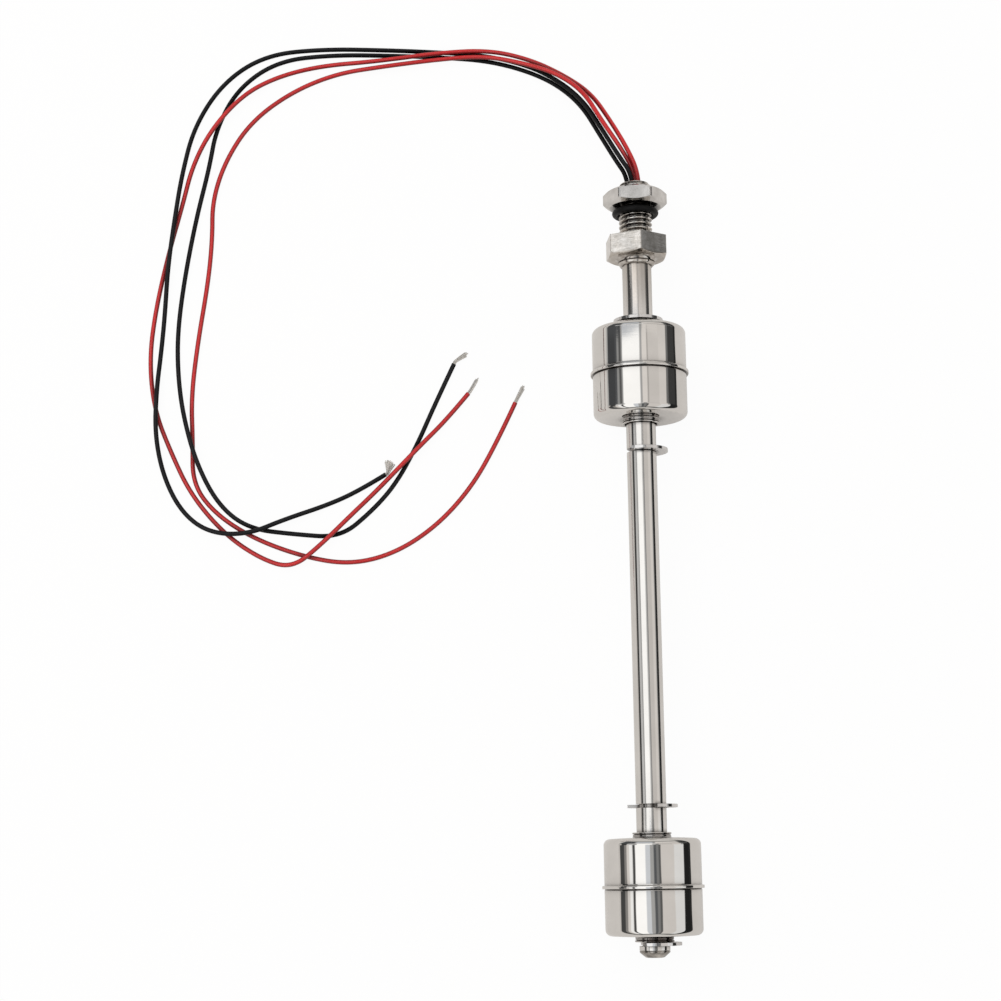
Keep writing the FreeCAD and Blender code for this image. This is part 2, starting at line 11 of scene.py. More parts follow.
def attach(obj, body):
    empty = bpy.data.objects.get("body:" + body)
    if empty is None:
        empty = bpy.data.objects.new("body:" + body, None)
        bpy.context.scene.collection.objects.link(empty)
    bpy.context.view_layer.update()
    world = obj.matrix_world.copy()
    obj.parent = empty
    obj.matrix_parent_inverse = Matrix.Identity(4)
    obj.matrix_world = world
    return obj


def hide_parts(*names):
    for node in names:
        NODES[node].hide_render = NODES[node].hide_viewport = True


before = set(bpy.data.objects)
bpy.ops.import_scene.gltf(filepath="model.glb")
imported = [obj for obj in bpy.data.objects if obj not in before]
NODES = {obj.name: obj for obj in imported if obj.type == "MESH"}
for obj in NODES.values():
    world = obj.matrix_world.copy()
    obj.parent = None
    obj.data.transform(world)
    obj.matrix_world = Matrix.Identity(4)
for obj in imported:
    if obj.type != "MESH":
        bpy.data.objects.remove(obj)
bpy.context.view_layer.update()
MM = 0.001
TURN = 2 * math.pi

# Sizes of the modelled part, in millimetres, for the pieces that stand for its nodes.
# A station is a distance along the stem from the tip of the plug.
TOTAL_LENGTH = 230.0
AXIS_Z = 14.65
STEM_R = 4.4
STEM_BORE_R = 2.9
STEM_LENGTH = 206.4
STEM_SEAT = 4.6
SEAT_R = 4.43
GROOVE_R = 3.5
GROOVE_WIDTH = 1.1
CLIP_STATIONS = (3.85, 42.85, 147.4, 186.85)
PLUG_HEAD = 2.0
PLUG_CHAMFER = 1.8
PLUG_SPIGOT = 5.0
SPIGOT_R = 2.87
HEX_HEIGHT = 6.4
HEX_TOP = STEM_LENGTH + HEX_HEIGHT
HEX_TURN = -4.5
HEX_FACE_R = 8.4
ACROSS_FLATS = 17.0
CHAMFER_ANGLE = 30.0
THREAD_R = 5.0
THREAD_ROOT_R = 4.12
THREAD_PITCH = 1.5
THREAD_CHAMFER = 0.8
RELIEF_WIDTH = 1.2
RELIEF_FACE_R = 5.3
RELIEF_FACE_DEPTH = 0.2
BUSHING_BORE_R = 3.0
NUT_THICKNESS = 5.0
NUT_TOP = TOTAL_LENGTH - 2.4
NUT_BOTTOM = NUT_TOP - NUT_THICKNESS
NUT_TURN = 33.3
NUT_FACE_R = 7.75
NUT_BORE_R = 5.05
WELD_HEIGHT = 2.4
WELD_WIDTH = 2.0
FLOAT_SEAMS = {"lower": 19.85, "upper": 170.85}
FLOAT_R = 14.0
FLOAT_HALF_BODY = 13.7
FLOAT_CORNER = 1.8
FLOAT_DOME = 0.25
FLOAT_WALL = 0.3
FLOAT_BORE_R = 4.8
SEAM_R = 14.65
SEAM_HALF_WIDTH = 0.45
NECK_R = 5.5
NECK_HEIGHT = 0.9
GUIDE_R = 5.1
GUIDE_PROUD = 0.6
GUIDE_RIM_R = 5.65

# Finer sizes that only these pieces have, in millimetres
HEX_CORNER = 0.4                      # radius along the corners of the bushing's hexagon
NUT_CORNER = 0.95                     # radius along the corners of the lock nut
NUT_BORE_CHAMFER = 0.3
SHANK_BORE_CHAMFER = 0.15
THREAD_FLANK = 1.6                    # steepness of the thread's flanks, in heights for half a pitch
THREAD_FLAT = 0.25                    # share of that height that the root's flat takes away
THREAD_RUNOUT = 0.8                   # how fast the thread rises where it starts
SEAM_FILLET = 0.22                    # between the seam of a float and its upper shell
SEAM_LINE_WIDTH = 0.35                # dark line between the seam and the lower shell
SEAM_LINE_DEPTH = 0.12
SEAM_SUPPORTS = (1.0, 1.6, 5.0)       # rings of the mesh that keep a shell's side straight, from the seam on
SHOULDER_SUPPORTS = (2.0, 0.6, 0.12)  # the same, before the shoulder
DOME_FULLNESS = 0.9
NECK_FILLET = 0.4
NECK_EDGE = 0.2
NECK_BORE_R = GUIDE_R + 0.03
RIM_EDGE = 0.2
RIM_GAP = 0.12                        # between a neck and the guide tube's rim
RIM_BORE_CHAMFER = 0.1
GROOVE_EDGE = 0.06
PLUG_LINE = 0.1                       # groove where the plug meets the stem
PLUG_ROUND = 0.7                      # between the plug's side and its cone
NOSE_ROUND = 0.9                      # between the cone and the flat end
NOSE_FLAT_R = STEM_R - PLUG_CHAMFER - 0.35
WELD_HOLLOW = ((WELD_WIDTH, 0.0), (1.6, 0.25), (1.25, 0.6), (1.1, 1.0))     # out from the stem, down
WELD_BEAD_WIDTH = 1.12
WELD_BEAD_HEIGHT = 1.0
WELD_LOBES = 9
STRAND_R = 0.12
STRAND_FLOOR = STRAND_R + 0.03        # lowest height of a strand's middle line
CORE_HALF_WIDTH = 0.45
CORE_HALF_HEIGHT = 0.4

CAMERA_LENS = 75.96
CAMERA_SENSOR = 36.0
CAMERA_PLACE = (-0.04217, -0.09099, 0.63065)
CAMERA_TIP = 10.04                    # degrees towards the threaded end
CAMERA_ROLL = -0.862


def make_camera():
    """Camera over the switch, tipped a little towards the threaded end and rolled a little."""
    data = bpy.data.cameras.new("camera")
    data.lens = CAMERA_LENS
    data.sensor_width = CAMERA_SENSOR
    data.clip_start = 0.01
    data.clip_end = 20.0
    data.dof.use_dof = False
    camera = bpy.data.objects.new("camera", data)
    bpy.context.scene.collection.objects.link(camera)
    tip = Matrix.Rotation(math.radians(CAMERA_TIP), 4, "X")
    roll = Matrix.Rotation(math.radians(CAMERA_ROLL), 4, "Z")
    camera.matrix_world = Matrix.Translation(CAMERA_PLACE) @ tip @ roll
    bpy.context.scene.camera = camera


make_camera()

# Lead wires, in millimetres: the points of each route are the control points of the wire's spline
WIRE_D = 1.4
WIRE_START_Y = 113.0
FLOOR = WIRE_D / 2                    # height of a wire that lies on the surface
OVER = 2.4                            # height of a wire that crosses another one
WIRE_ROUTES = {
    "black_wire_1": [
        (-0.7, WIRE_START_Y, 15.6), (-0.7, 117.9, 15.6), (-4.4, 124.0, 14.7), (-9.3, 133.5, 12.6),
        (-14.6, 143.8, 9.7), (-22.1, 152.1, 5.9), (-31.6, 158.6, 2.4), (-44.5, 162.7, FLOOR),
        (-58.0, 163.9, FLOOR), (-75.0, 164.95, FLOOR), (-96.0, 165.7, FLOOR), (-114.0, 164.0, FLOOR),
        (-127.2, 155.2, FLOOR), (-136.2, 140.8, FLOOR), (-139.9, 125.0, FLOOR), (-141.6, 111.0, OVER),
        (-143.6, 95.0, OVER), (-144.6, 80.0, FLOOR), (-145.6, 68.0, FLOOR), (-146.6, 56.0, OVER),
        (-146.9, 42.0, OVER), (-144.3, 29.0, FLOOR), (-138.5, 18.0, FLOOR), (-130.0, 11.6, OVER),
        (-118.5, 11.0, OVER), (-107.6, 15.4, OVER), (-94.4, 20.0, FLOOR), (-85.0, 24.2, FLOOR),
        (-76.9, 29.1, FLOOR),
    ],
    "black_wire_2": [
        (-2.0, WIRE_START_Y, 14.1), (-2.0, 117.6, 14.1), (-5.4, 123.2, 13.4), (-10.2, 132.7, 11.2),
        (-15.3, 143.1, 8.3), (-22.9, 151.6, 4.3), (-32.4, 157.4, 1.3), (-44.0, 160.9, FLOOR),
        (-57.0, 162.2, FLOOR), (-74.0, 163.15, FLOOR), (-93.0, 163.7, FLOOR), (-110.0, 162.0, FLOOR),
        (-122.5, 153.2, FLOOR), (-129.3, 140.0, FLOOR), (-131.4, 127.0, FLOOR), (-135.2, 111.0, FLOOR),
        (-138.6, 92.0, FLOOR), (-140.6, 75.0, FLOOR), (-140.4, 61.5, FLOOR), (-138.4, 48.0, OVER),
        (-134.2, 33.0, OVER), (-127.6, 20.3, FLOOR), (-118.4, 13.0, FLOOR), (-104.5, 11.1, FLOOR),
        (-90.8, 9.9, FLOOR), (-81.2, 17.8, FLOOR), (-73.9, 26.0, FLOOR), (-67.4, 37.8, FLOOR),
        (-61.6, 51.0, FLOOR), (-55.8, 63.2, FLOOR),
    ],
    "red_wire_1": [
        (1.25, WIRE_START_Y, 15.3), (1.25, 118.4, 15.3), (-1.8, 126.2, 15.2), (-6.9, 136.6, 12.6),
        (-12.3, 146.7, 8.8), (-20.5, 154.1, 5.3), (-30.9, 160.0, 3.8), (-43.5, 163.8, OVER),
        (-58.5, 163.3, OVER), (-79.0, 160.7, OVER), (-96.0, 160.2, FLOOR), (-109.6, 157.0, FLOOR),
        (-120.6, 150.6, OVER), (-130.4, 139.5, OVER), (-136.6, 128.0, FLOOR), (-139.6, 115.0, FLOOR),
        (-143.6, 100.0, FLOOR), (-147.4, 82.0, FLOOR), (-149.2, 66.0, FLOOR), (-147.4, 50.0, FLOOR),
        (-142.0, 36.4, FLOOR), (-135.9, 23.6, FLOOR), (-125.9, 11.6, FLOOR), (-115.0, 3.9, FLOOR),
        (-105.2, 0.4, OVER), (-96.5, 7.5, OVER), (-87.4, 16.4, OVER), (-79.8, 24.0, FLOOR),
        (-72.7, 30.9, OVER), (-65.6, 38.2, OVER), (-58.2, 45.9, FLOOR), (-51.5, 53.9, FLOOR),
    ],
    "red_wire_2": [
        (0.45, WIRE_START_Y, 13.7), (0.45, 118.9, 13.7), (-3.5, 126.3, 14.5), (-9.5, 136.2, 13.5),
        (-14.7, 147.0, 10.0), (-22.9, 154.2, 7.0), (-33.4, 158.7, 4.4), (-45.5, 162.0, OVER),
        (-60.0, 161.0, OVER), (-77.5, 158.9, OVER), (-92.0, 157.4, FLOOR), (-106.0, 151.5, FLOOR),
        (-118.5, 142.0, FLOOR), (-126.3, 129.5, FLOOR), (-130.3, 116.5, FLOOR), (-130.2, 104.0, FLOOR),
        (-131.4, 90.0, FLOOR), (-134.4, 71.0, FLOOR), (-136.2, 54.0, FLOOR), (-135.6, 40.0, FLOOR),
        (-135.5, 27.2, FLOOR), (-128.9, 18.0, FLOOR), (-117.2, 10.1, FLOOR), (-102.2, 4.3, FLOOR),
        (-88.0, 1.6, FLOOR), (-74.5, 4.7, FLOOR), (-61.8, 12.8, FLOOR), (-51.2, 24.3, FLOOR),
        (-43.2, 38.1, FLOOR), (-37.2, 50.8, FLOOR),
    ],
}


def link(obj):
    bpy.context.scene.collection.objects.link(obj)
    return obj


def new_curve(name, radius, resolution, bevel_resolution):
    """Round curve without splines, with a radius in millimetres."""
    data = bpy.data.curves.new(name, "CURVE")
    data.dimensions = "3D"
    data.resolution_u = resolution
    data.bevel_depth = radius * MM
    data.bevel_resolution = bevel_resolution
    data.use_fill_caps = True
    return data


def add_spline(data, points):
    """Smooth spline with these points in millimetres as its control points."""
    spline = data.splines.new("NURBS")
    spline.points.add(len(points) - 1)
    for target, point in zip(spline.points, points):
        target.co = (point[0] * MM, point[1] * MM, point[2] * MM, 1.0)
    spline.order_u = 3
    spline.use_endpoint_u = True


# Materials

EVEN = (1, 1, 1)


def new_material(name, color, metallic, roughness, gloss=0.5):
    """Material whose shader has these values on its own sockets."""
    material = bpy.data.materials.new(name)
    material.use_nodes = True
    shader = material.node_tree.nodes["Principled BSDF"]
    shader.inputs["Base Color"].default_value = (*color, 1.0)
    shader.inputs["Metallic"].default_value = metallic
    shader.inputs["Roughness"].default_value = roughness
    shader.inputs["Specular IOR Level"].default_value = gloss
    return material, material.node_tree, shader


def node(tree, kind, **values):
    made = tree.nodes.new(kind)
    for key, value in values.items():
        setattr(made, key, value)
    return made


def scaled_coords(tree, scale):
    """Object coordinates multiplied by a scale for each axis."""
    coords = node(tree, "ShaderNodeTexCoord")
    mapping = node(tree, "ShaderNodeMapping")
    mapping.inputs["Scale"].default_value = scale
    tree.links.new(coords.outputs["Object"], mapping.inputs["Vector"])
    return mapping.outputs["Vector"]


def noise(tree, scale, frequency, detail, roughness=0.5):
    """Noise stretched by a scale for each axis."""
    made = node(tree, "ShaderNodeTexNoise")
    made.inputs["Scale"].default_value = frequency
    made.inputs["Detail"].default_value = detail
    made.inputs["Roughness"].default_value = roughness
    tree.links.new(scaled_coords(tree, scale), made.inputs["Vector"])
    return made.outputs["Fac"]


def spread(tree, value, low, high, start=0.3, end=0.7):
    """Value between start and end mapped to the range from low to high."""
    made = node(tree, "ShaderNodeMapRange")
    made.inputs["From Min"].default_value = start
    made.inputs["From Max"].default_value = end
    made.inputs["To Min"].default_value = low
    made.inputs["To Max"].default_value = high
    tree.links.new(value, made.inputs["Value"])
    return made.outputs["Result"]


def combined(tree, operation, first, second=None):
    """Result of a calculation with one or two outputs of nodes, or with one output and a number."""
    made = node(tree, "ShaderNodeMath", operation=operation)
    tree.links.new(first, made.inputs[0])
    if isinstance(second, float):
        made.inputs[1].default_value = second
    elif second is not None:
        tree.links.new(second, made.inputs[1])
    return made.outputs["Value"]


def mixed(tree, factor, first, second):
    """Mix of two colours, each one given as a colour or as the output of a node."""
    made = node(tree, "ShaderNodeMix", data_type="RGBA")
    tree.links.new(factor, made.inputs["Factor"])
    for socket, color in (("A", first), ("B", second)):
        if isinstance(color, tuple):
            made.inputs[socket].default_value = (*color, 1.0)
        else:
            tree.links.new(color, made.inputs[socket])
    return made.outputs["Result"]


def split(tree, vector):
    """X, Y and Z of a vector, as the outputs of a node."""
    axes = node(tree, "ShaderNodeSeparateXYZ")
    tree.links.new(vector, axes.inputs["Vector"])
    return axes.outputs


def openness(tree, reach, closed, clear):
    """0 deep in a gap and 1 on an open surface, judged within a reach in millimetres."""
    made = node(tree, "ShaderNodeAmbientOcclusion", samples=8)
    made.inputs["Distance"].default_value = reach * MM
    return spread(tree, made.outputs["AO"], 0.0, 1.0, closed, clear)


def bump(tree, shader, height, depth, normal=None):
    """Bump with a depth in metres, put on top of what already shapes the normal."""
    made = node(tree, "ShaderNodeBump")
    made.inputs["Strength"].default_value = 1.0
    made.inputs["Distance"].default_value = depth
    tree.links.new(height, made.inputs["Height"])
    if normal is not None:
        tree.links.new(normal, made.inputs["Normal"])
    tree.links.new(made.outputs["Normal"], shader.inputs["Normal"])
    return made.outputs["Normal"]


def rounded_edges(tree, radius):
    """Normal that runs round the edges with a radius in millimetres."""
    made = node(tree, "ShaderNodeBevel", samples=6)
    made.inputs["Radius"].default_value = radius * MM
    return made.outputs["Normal"]


HEAT_TINT = (0.34, 0.29, 0.235)


def steel(name, light, dark, roughness, ring_scale, ring_depth, wave_depth=0.0, edge=0.0, scratch_depth=0.0,
          painted_gap_shade=(0.06, 0.05, 0.045), cloud_scale=90.0, reach=1.6, gap=(0.4, 0.9), streaks=None, heat=None):
    """Steel with fine lines round the stem's axis, slow waves, cloudy colour and roughness, and painted shade
    in gaps.

    edge and reach are in millimetres. heat gives the stations from where and to where the weld has tinted it.
    """
    material, tree, shader = new_material(name, light, metallic=1.0, roughness=roughness)
    cloud = noise(tree, EVEN, cloud_scale, detail=4.0, roughness=0.6)
    unshaded = mixed(tree, spread(tree, cloud, 0.0, 1.0), light, dark)
    if streaks:
        drawn = noise(tree, (0.12, 1.0, 0.12), frequency=2600.0, detail=4.0, roughness=0.7)
        unshaded = mixed(tree, spread(tree, drawn, 0.0, 1.0, 0.5, 0.66), unshaded, streaks)
    if heat:
        cold, hot = ((station - TOTAL_LENGTH / 2) * MM for station in heat)
        along = split(tree, scaled_coords(tree, EVEN))["Y"]
        unshaded = mixed(tree, spread(tree, along, 0.0, 0.5, cold, hot), unshaded, HEAT_TINT)
    # Painted shade: where other surfaces hem it in, the colour turns to the dark gap shade colour
    tree.links.new(mixed(tree, openness(tree, reach, *gap), painted_gap_shade, unshaded), shader.inputs["Base Color"])
    smudge = noise(tree, (1, 0.6, 1), frequency=240.0, detail=5.0, roughness=0.62)
    tree.links.new(spread(tree, smudge, roughness * 0.75, roughness * 1.35), shader.inputs["Roughness"])
    normal = rounded_edges(tree, edge) if edge else None
    rings = noise(tree, (0.03, 1.0, 0.03), ring_scale, detail=3.0, roughness=0.7)
    normal = bump(tree, shader, rings, ring_depth, normal)
    if scratch_depth:
        scratches = noise(tree, (1.0, 0.05, 1.0), frequency=1500.0, detail=3.0, roughness=0.7)
        normal = bump(tree, shader, scratches, scratch_depth, normal)
    if wave_depth:
        waves = noise(tree, (1, 0.35, 1), frequency=130.0, detail=1.0, roughness=0.4)
        bump(tree, shader, waves, wave_depth, normal)
    return material


BRIGHT = (0.70, 0.685, 0.66)
BRIGHT_SHADE = (0.645, 0.63, 0.605)
POLISHED = steel("polished_steel", BRIGHT, BRIGHT_SHADE, roughness=0.03, ring_scale=2600.0,
                 ring_depth=0.0000006, wave_depth=0.0001, reach=2.4, gap=(0.5, 0.95))
TUBE = steel("drawn_tube_steel", BRIGHT, BRIGHT_SHADE, roughness=0.06, ring_scale=3200.0,
             ring_depth=0.000001, wave_depth=0.00002, heat=(190.0, 206.0))
# The plug's colour clouds from steel down to near black: partly uneven tone, partly painted dark reflections
PLUG = steel("plug_steel", (0.52, 0.49, 0.45), (0.10, 0.09, 0.08), roughness=0.1, ring_scale=1200.0,
             ring_depth=0.000006, cloud_scale=420.0)
WELD = steel("weld_steel", (0.66, 0.63, 0.59), (0.30, 0.27, 0.24), roughness=0.1, ring_scale=900.0,
             ring_depth=0.000003, painted_gap_shade=(0.05, 0.04, 0.035), cloud_scale=500.0, reach=3.0, gap=(0.55, 0.85))
TURNED = steel("turned_steel", (0.84, 0.815, 0.78), (0.52, 0.49, 0.45), roughness=0.09, ring_scale=1500.0,
               ring_depth=0.000002, edge=0.12, painted_gap_shade=(0.05, 0.045, 0.04), cloud_scale=520.0, reach=1.8,
               streaks=(0.46, 0.43, 0.39), heat=(207.3, 206.7))
NUT_STEEL = steel("nut_steel", (0.70, 0.685, 0.665), (0.5, 0.485, 0.465), roughness=0.13, ring_scale=700.0,
                  ring_depth=0.000003, edge=0.12, scratch_depth=0.00001, painted_gap_shade=(0.02, 0.02, 0.02),
                  cloud_scale=260.0, reach=2.4)
SPRING = steel("spring_steel", (0.70, 0.69, 0.68), (0.55, 0.54, 0.53), roughness=0.08, ring_scale=1800.0,
               ring_depth=0.000002, edge=0.12)


def wire_material(name, color, shade, side, gloss):
    """Satin insulation with faint marks, with painted light on its top and painted shade on the sides that
    face the surface it lies on.
    """
    material, tree, shader = new_material(name, color, metallic=0.0, roughness=0.26, gloss=gloss)
    cloud = noise(tree, EVEN, frequency=160.0, detail=4.0, roughness=0.6)
    top = mixed(tree, spread(tree, cloud, 0.0, 1.0), color, shade)
    # Painted light and shade: the top keeps the lighter colour, the sides turn to the dark side colour
    painted_light_from_above = openness(tree, reach=30.0, closed=0.8, clear=1.0)
    tree.links.new(mixed(tree, painted_light_from_above, side, top), shader.inputs["Base Color"])
    marks = noise(tree, EVEN, frequency=900.0, detail=4.0)
    tree.links.new(spread(tree, marks, 0.2, 0.32), shader.inputs["Roughness"])
    bump(tree, shader, noise(tree, EVEN, frequency=1400.0, detail=3.0), depth=0.00002)
    return material


# side is the colour of the painted shade on each wire's sides
RED_WIRE = wire_material("red_insulation", (0.50, 0.018, 0.018), shade=(0.40, 0.012, 0.013),
                         side=(0.17, 0.003, 0.004), gloss=0.45)
BLACK_WIRE = wire_material("black_insulation", (0.014, 0.014, 0.015), shade=(0.009, 0.009, 0.010),
                           side=(0.0008, 0.0008, 0.001), gloss=0.12)


def plain_material(name, color, shade, metallic, roughness, frequency, depth, gloss=0.5):
    """Material with a fine grain in colour, roughness and surface."""
    material, tree, shader = new_material(name, color, metallic, roughness, gloss)
    grain = noise(tree, EVEN, frequency, detail=5.0, roughness=0.6)
    tree.links.new(mixed(tree, spread(tree, grain, 0.0, 1.0), color, shade), shader.inputs["Base Color"])
    tree.links.new(spread(tree, grain, roughness * 0.8, roughness * 1.2), shader.inputs["Roughness"])
    bump(tree, shader, noise(tree, EVEN, frequency * 2.5, detail=3.0), depth)
    return material


RUBBER = plain_material("black_rubber", (0.003, 0.003, 0.003), (0.006, 0.006, 0.006), metallic=0.0,
                        roughness=0.42, frequency=700.0, depth=0.00002, gloss=0.12)
EPOXY = plain_material("epoxy", (0.02, 0.02, 0.022), (0.035, 0.034, 0.034), metallic=0.0,
                       roughness=0.3, frequency=400.0, depth=0.00004)
TINNED = plain_material("tinned_copper", (0.86, 0.84, 0.80), (0.62, 0.59, 0.55), metallic=1.0,
                        roughness=0.22, frequency=2500.0, depth=0.00001)
FERRITE = plain_material("ferrite", (0.06, 0.06, 0.065), (0.09, 0.09, 0.09), metallic=0.0,
                         roughness=0.6, frequency=900.0, depth=0.00003)
SLEEVE = plain_material("sleeve", (0.75, 0.75, 0.72), (0.65, 0.65, 0.62), metallic=0.0,
                        roughness=0.4, frequency=600.0, depth=0.00001)
BLADE = plain_material("blade_alloy", (0.55, 0.53, 0.48), (0.48, 0.46, 0.42), metallic=1.0,
                       roughness=0.3, frequency=1500.0, depth=0.00001)
GLASS = plain_material("reed_glass", (0.6, 0.8, 0.7), (0.55, 0.76, 0.66), metallic=0.0,
                       roughness=0.1, frequency=300.0, depth=0.000005)


# Meshes

MERGE_DISTANCE = 0.000002             # metres


def add_skin(node_name, shape, material, body, smooth_angle=35.0):
    """Piece that stands for a node, from vertices in millimetres and faces."""
    vertices, faces = shape
    mesh = bpy.data.meshes.new(node_name + "_skin")
    mesh.from_pydata([Vector(v) * MM for v in vertices], [], faces)
    made = bmesh.new()
    made.from_mesh(mesh)
    bmesh.ops.remove_doubles(made, verts=made.verts, dist=MERGE_DISTANCE)
    bmesh.ops.recalc_face_normals(made, faces=made.faces)
    made.to_mesh(mesh)
    made.free()
    mesh.polygons.foreach_set("use_smooth", [True] * len(mesh.polygons))
    mesh.set_sharp_from_angle(angle=math.radians(smooth_angle))
    mesh.materials.append(material)
    obj = link(bpy.data.objects.new(node_name + "_skin", mesh))
    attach(obj, body)
    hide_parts(node_name)


def on_circle(radius, angle, station):
    """Point at a radius and an angle from straight up, positive towards -X."""
    return (-radius * math.sin(angle), station - TOTAL_LENGTH / 2, AXIS_Z + radius * math.cos(angle))


def turned(outline_at, angles):
    """Vertices and faces of a closed outline of (radius, station) points that may differ at each angle."""
    vertices, faces = [], []
    outlines = [outline_at(angle) for angle in angles]
    count = len(outlines[0])
    for i, (angle, outline) in enumerate(zip(angles, outlines)):
        following = (i + 1) % len(angles)
        vertices += [on_circle(radius, angle, station) for radius, station in outline]
        for j in range(count):
            after = (j + 1) % count
            faces.append((i * count + j, i * count + after, following * count + after, following * count + j))
    return vertices, faces


def round_angles(segments):
    return [TURN * i / segments for i in range(segments)]


def lathe(outline, segments):
    return turned(lambda angle: outline, round_angles(segments))


def quarter(center, radius, start, end, steps):
    """Points of a round corner in an outline, between two angles in degrees from the radial direction."""
    found = []
    for i in range(steps + 1):
        angle = math.radians(start + (end - start) * i / steps)
        found.append((center[0] + radius * math.cos(angle), center[1] + radius * math.sin(angle)))
    return found


def float_outline(seam, side):
    """Outline of one pressed shell; side is 1 towards the threaded end and -1 towards the tip."""
    rim = FLOAT_R - FLOAT_CORNER
    shoulder = FLOAT_HALF_BODY - FLOAT_CORNER
    root = FLOAT_HALF_BODY + FLOAT_DOME
    top = root + NECK_HEIGHT
    lip = SEAM_HALF_WIDTH / 3
    outer = [(SEAM_R, 0.0)]
    outer += quarter((SEAM_R - lip, SEAM_HALF_WIDTH - lip), lip, 0, 90, 4)
    if side == 1:
        outer += quarter((FLOAT_R + SEAM_FILLET, SEAM_HALF_WIDTH + SEAM_FILLET), SEAM_FILLET, -90, -180, 4)
    else:
        line = FLOAT_R - SEAM_LINE_DEPTH
        outer += [(line, SEAM_HALF_WIDTH), (line, SEAM_HALF_WIDTH + SEAM_LINE_WIDTH / 2)]
        outer.append((FLOAT_R, SEAM_HALF_WIDTH + SEAM_LINE_WIDTH))
    outer += [(FLOAT_R, distance) for distance in SEAM_SUPPORTS]
    outer += [(FLOAT_R, shoulder - distance) for distance in SHOULDER_SUPPORTS]
    outer += quarter((rim, shoulder), FLOAT_CORNER, 0, 90, 14)
    dome_steps = 8
    for i in range(1, dome_steps):
        share = i / dome_steps
        rise = FLOAT_DOME * (1 - (1 - share) ** 2)
        outer.append((rim + (NECK_R + NECK_FILLET - rim) * share, FLOAT_HALF_BODY + rise * DOME_FULLNESS))
    outer += quarter((NECK_R + NECK_FILLET, root + NECK_FILLET), NECK_FILLET, -90, -180, 5)
    outer += quarter((NECK_R - NECK_EDGE, top - NECK_EDGE), NECK_EDGE, 0, 90, 4)
    outer.append((NECK_BORE_R, top))
    inner = [(NECK_BORE_R, root - FLOAT_WALL), (rim, FLOAT_HALF_BODY - FLOAT_WALL)]
    inner += quarter((rim, shoulder), FLOAT_CORNER - FLOAT_WALL, 90, 0, 6)
    inner.append((FLOAT_R - FLOAT_WALL, 0.0))
    return [(radius, seam + side * distance) for radius, distance in outer + inner]


def guide_outline(seam):
    """Outline of the tube that a float slides on, with a rim over each neck."""
    neck_end = FLOAT_HALF_BODY + FLOAT_DOME + NECK_HEIGHT
    start = neck_end + RIM_GAP
    end = neck_end + GUIDE_PROUD
    center_r = GUIDE_RIM_R - RIM_EDGE
    half = [(GUIDE_R, start), (center_r, start)]
    half += quarter((center_r, start + RIM_EDGE), RIM_EDGE, -90, 0, 4)
    half += quarter((center_r, end - RIM_EDGE), RIM_EDGE, 0, 90, 4)
    half += [(FLOAT_BORE_R + RIM_BORE_CHAMFER, end), (FLOAT_BORE_R, end - RIM_BORE_CHAMFER)]
    other = [(radius, -distance) for radius, distance in reversed(half)]
    return [(radius, seam + distance) for radius, distance in half + other]


def make_floats():
    """Pressed shells of both floats and the guide tubes with their rims."""
    for which, seam in FLOAT_SEAMS.items():
        body = which + "_float"
        for half, side in (("upper", 1), ("lower", -1)):
            shell = "%s_float_%s_shell" % (which, half)
            add_skin(shell, lathe(float_outline(seam, side), 256), POLISHED, body)
        add_skin(body + "_guide_tube", lathe(guide_outline(seam), 160), POLISHED, body)


def make_stem():
    """Drawn tube with a groove for each clip, and its rounded plug."""
    outline = [(STEM_BORE_R, PLUG_HEAD), (STEM_R - PLUG_LINE, PLUG_HEAD), (STEM_R, PLUG_HEAD + PLUG_LINE)]
    for station in CLIP_STATIONS:
        low, high = station - GROOVE_WIDTH / 2, station + GROOVE_WIDTH / 2
        outline += [(STEM_R, low - GROOVE_EDGE), (STEM_R - GROOVE_EDGE, low), (GROOVE_R, low),
                    (GROOVE_R, high), (STEM_R - GROOVE_EDGE, high), (STEM_R, high + GROOVE_EDGE)]
    end = STEM_LENGTH + STEM_SEAT
    outline += [(STEM_R, end), (STEM_BORE_R, end)]
    add_skin("stem_tube", lathe(outline, 192), TUBE, "stem")
    outline = [(0.0, 0.0), (NOSE_FLAT_R, 0.0)]
    outline += quarter((NOSE_FLAT_R, NOSE_ROUND), NOSE_ROUND, -90, -52, 5)
    outline += quarter((STEM_R - PLUG_ROUND, PLUG_CHAMFER), PLUG_ROUND, -40, 0, 5)
    outline += [(STEM_R - PLUG_LINE, PLUG_HEAD), (SPIGOT_R, PLUG_HEAD), (SPIGOT_R, PLUG_HEAD + PLUG_SPIGOT),
                (0.0, PLUG_HEAD + PLUG_SPIGOT)]
    add_skin("end_plug", lathe(outline, 128), PLUG, "stem")


def corner_sizes(corner):
    """Distance from the axis to the centre of a hexagon's rounded corner, and half the corner's angle in
    degrees."""
    center = (ACROSS_FLATS / 2 - corner) / math.cos(math.radians(30.0))
    return center, math.degrees(math.atan2(corner / 2, center + corner * math.cos(math.radians(30.0))))


def hex_radius(angle, turn, corner):
    """Distance from the axis to a hexagon's side with rounded corners, at an angle from straight up."""
    center, half = corner_sizes(corner)
    away = abs((math.degrees(angle) - turn + 30.0) % 60.0 - 30.0)
    if away >= half:
        return ACROSS_FLATS / 2 / math.cos(math.radians(30.0 - away))
    across = center * math.sin(math.radians(away))
    return center * math.cos(math.radians(away)) + math.sqrt(corner ** 2 - across ** 2)


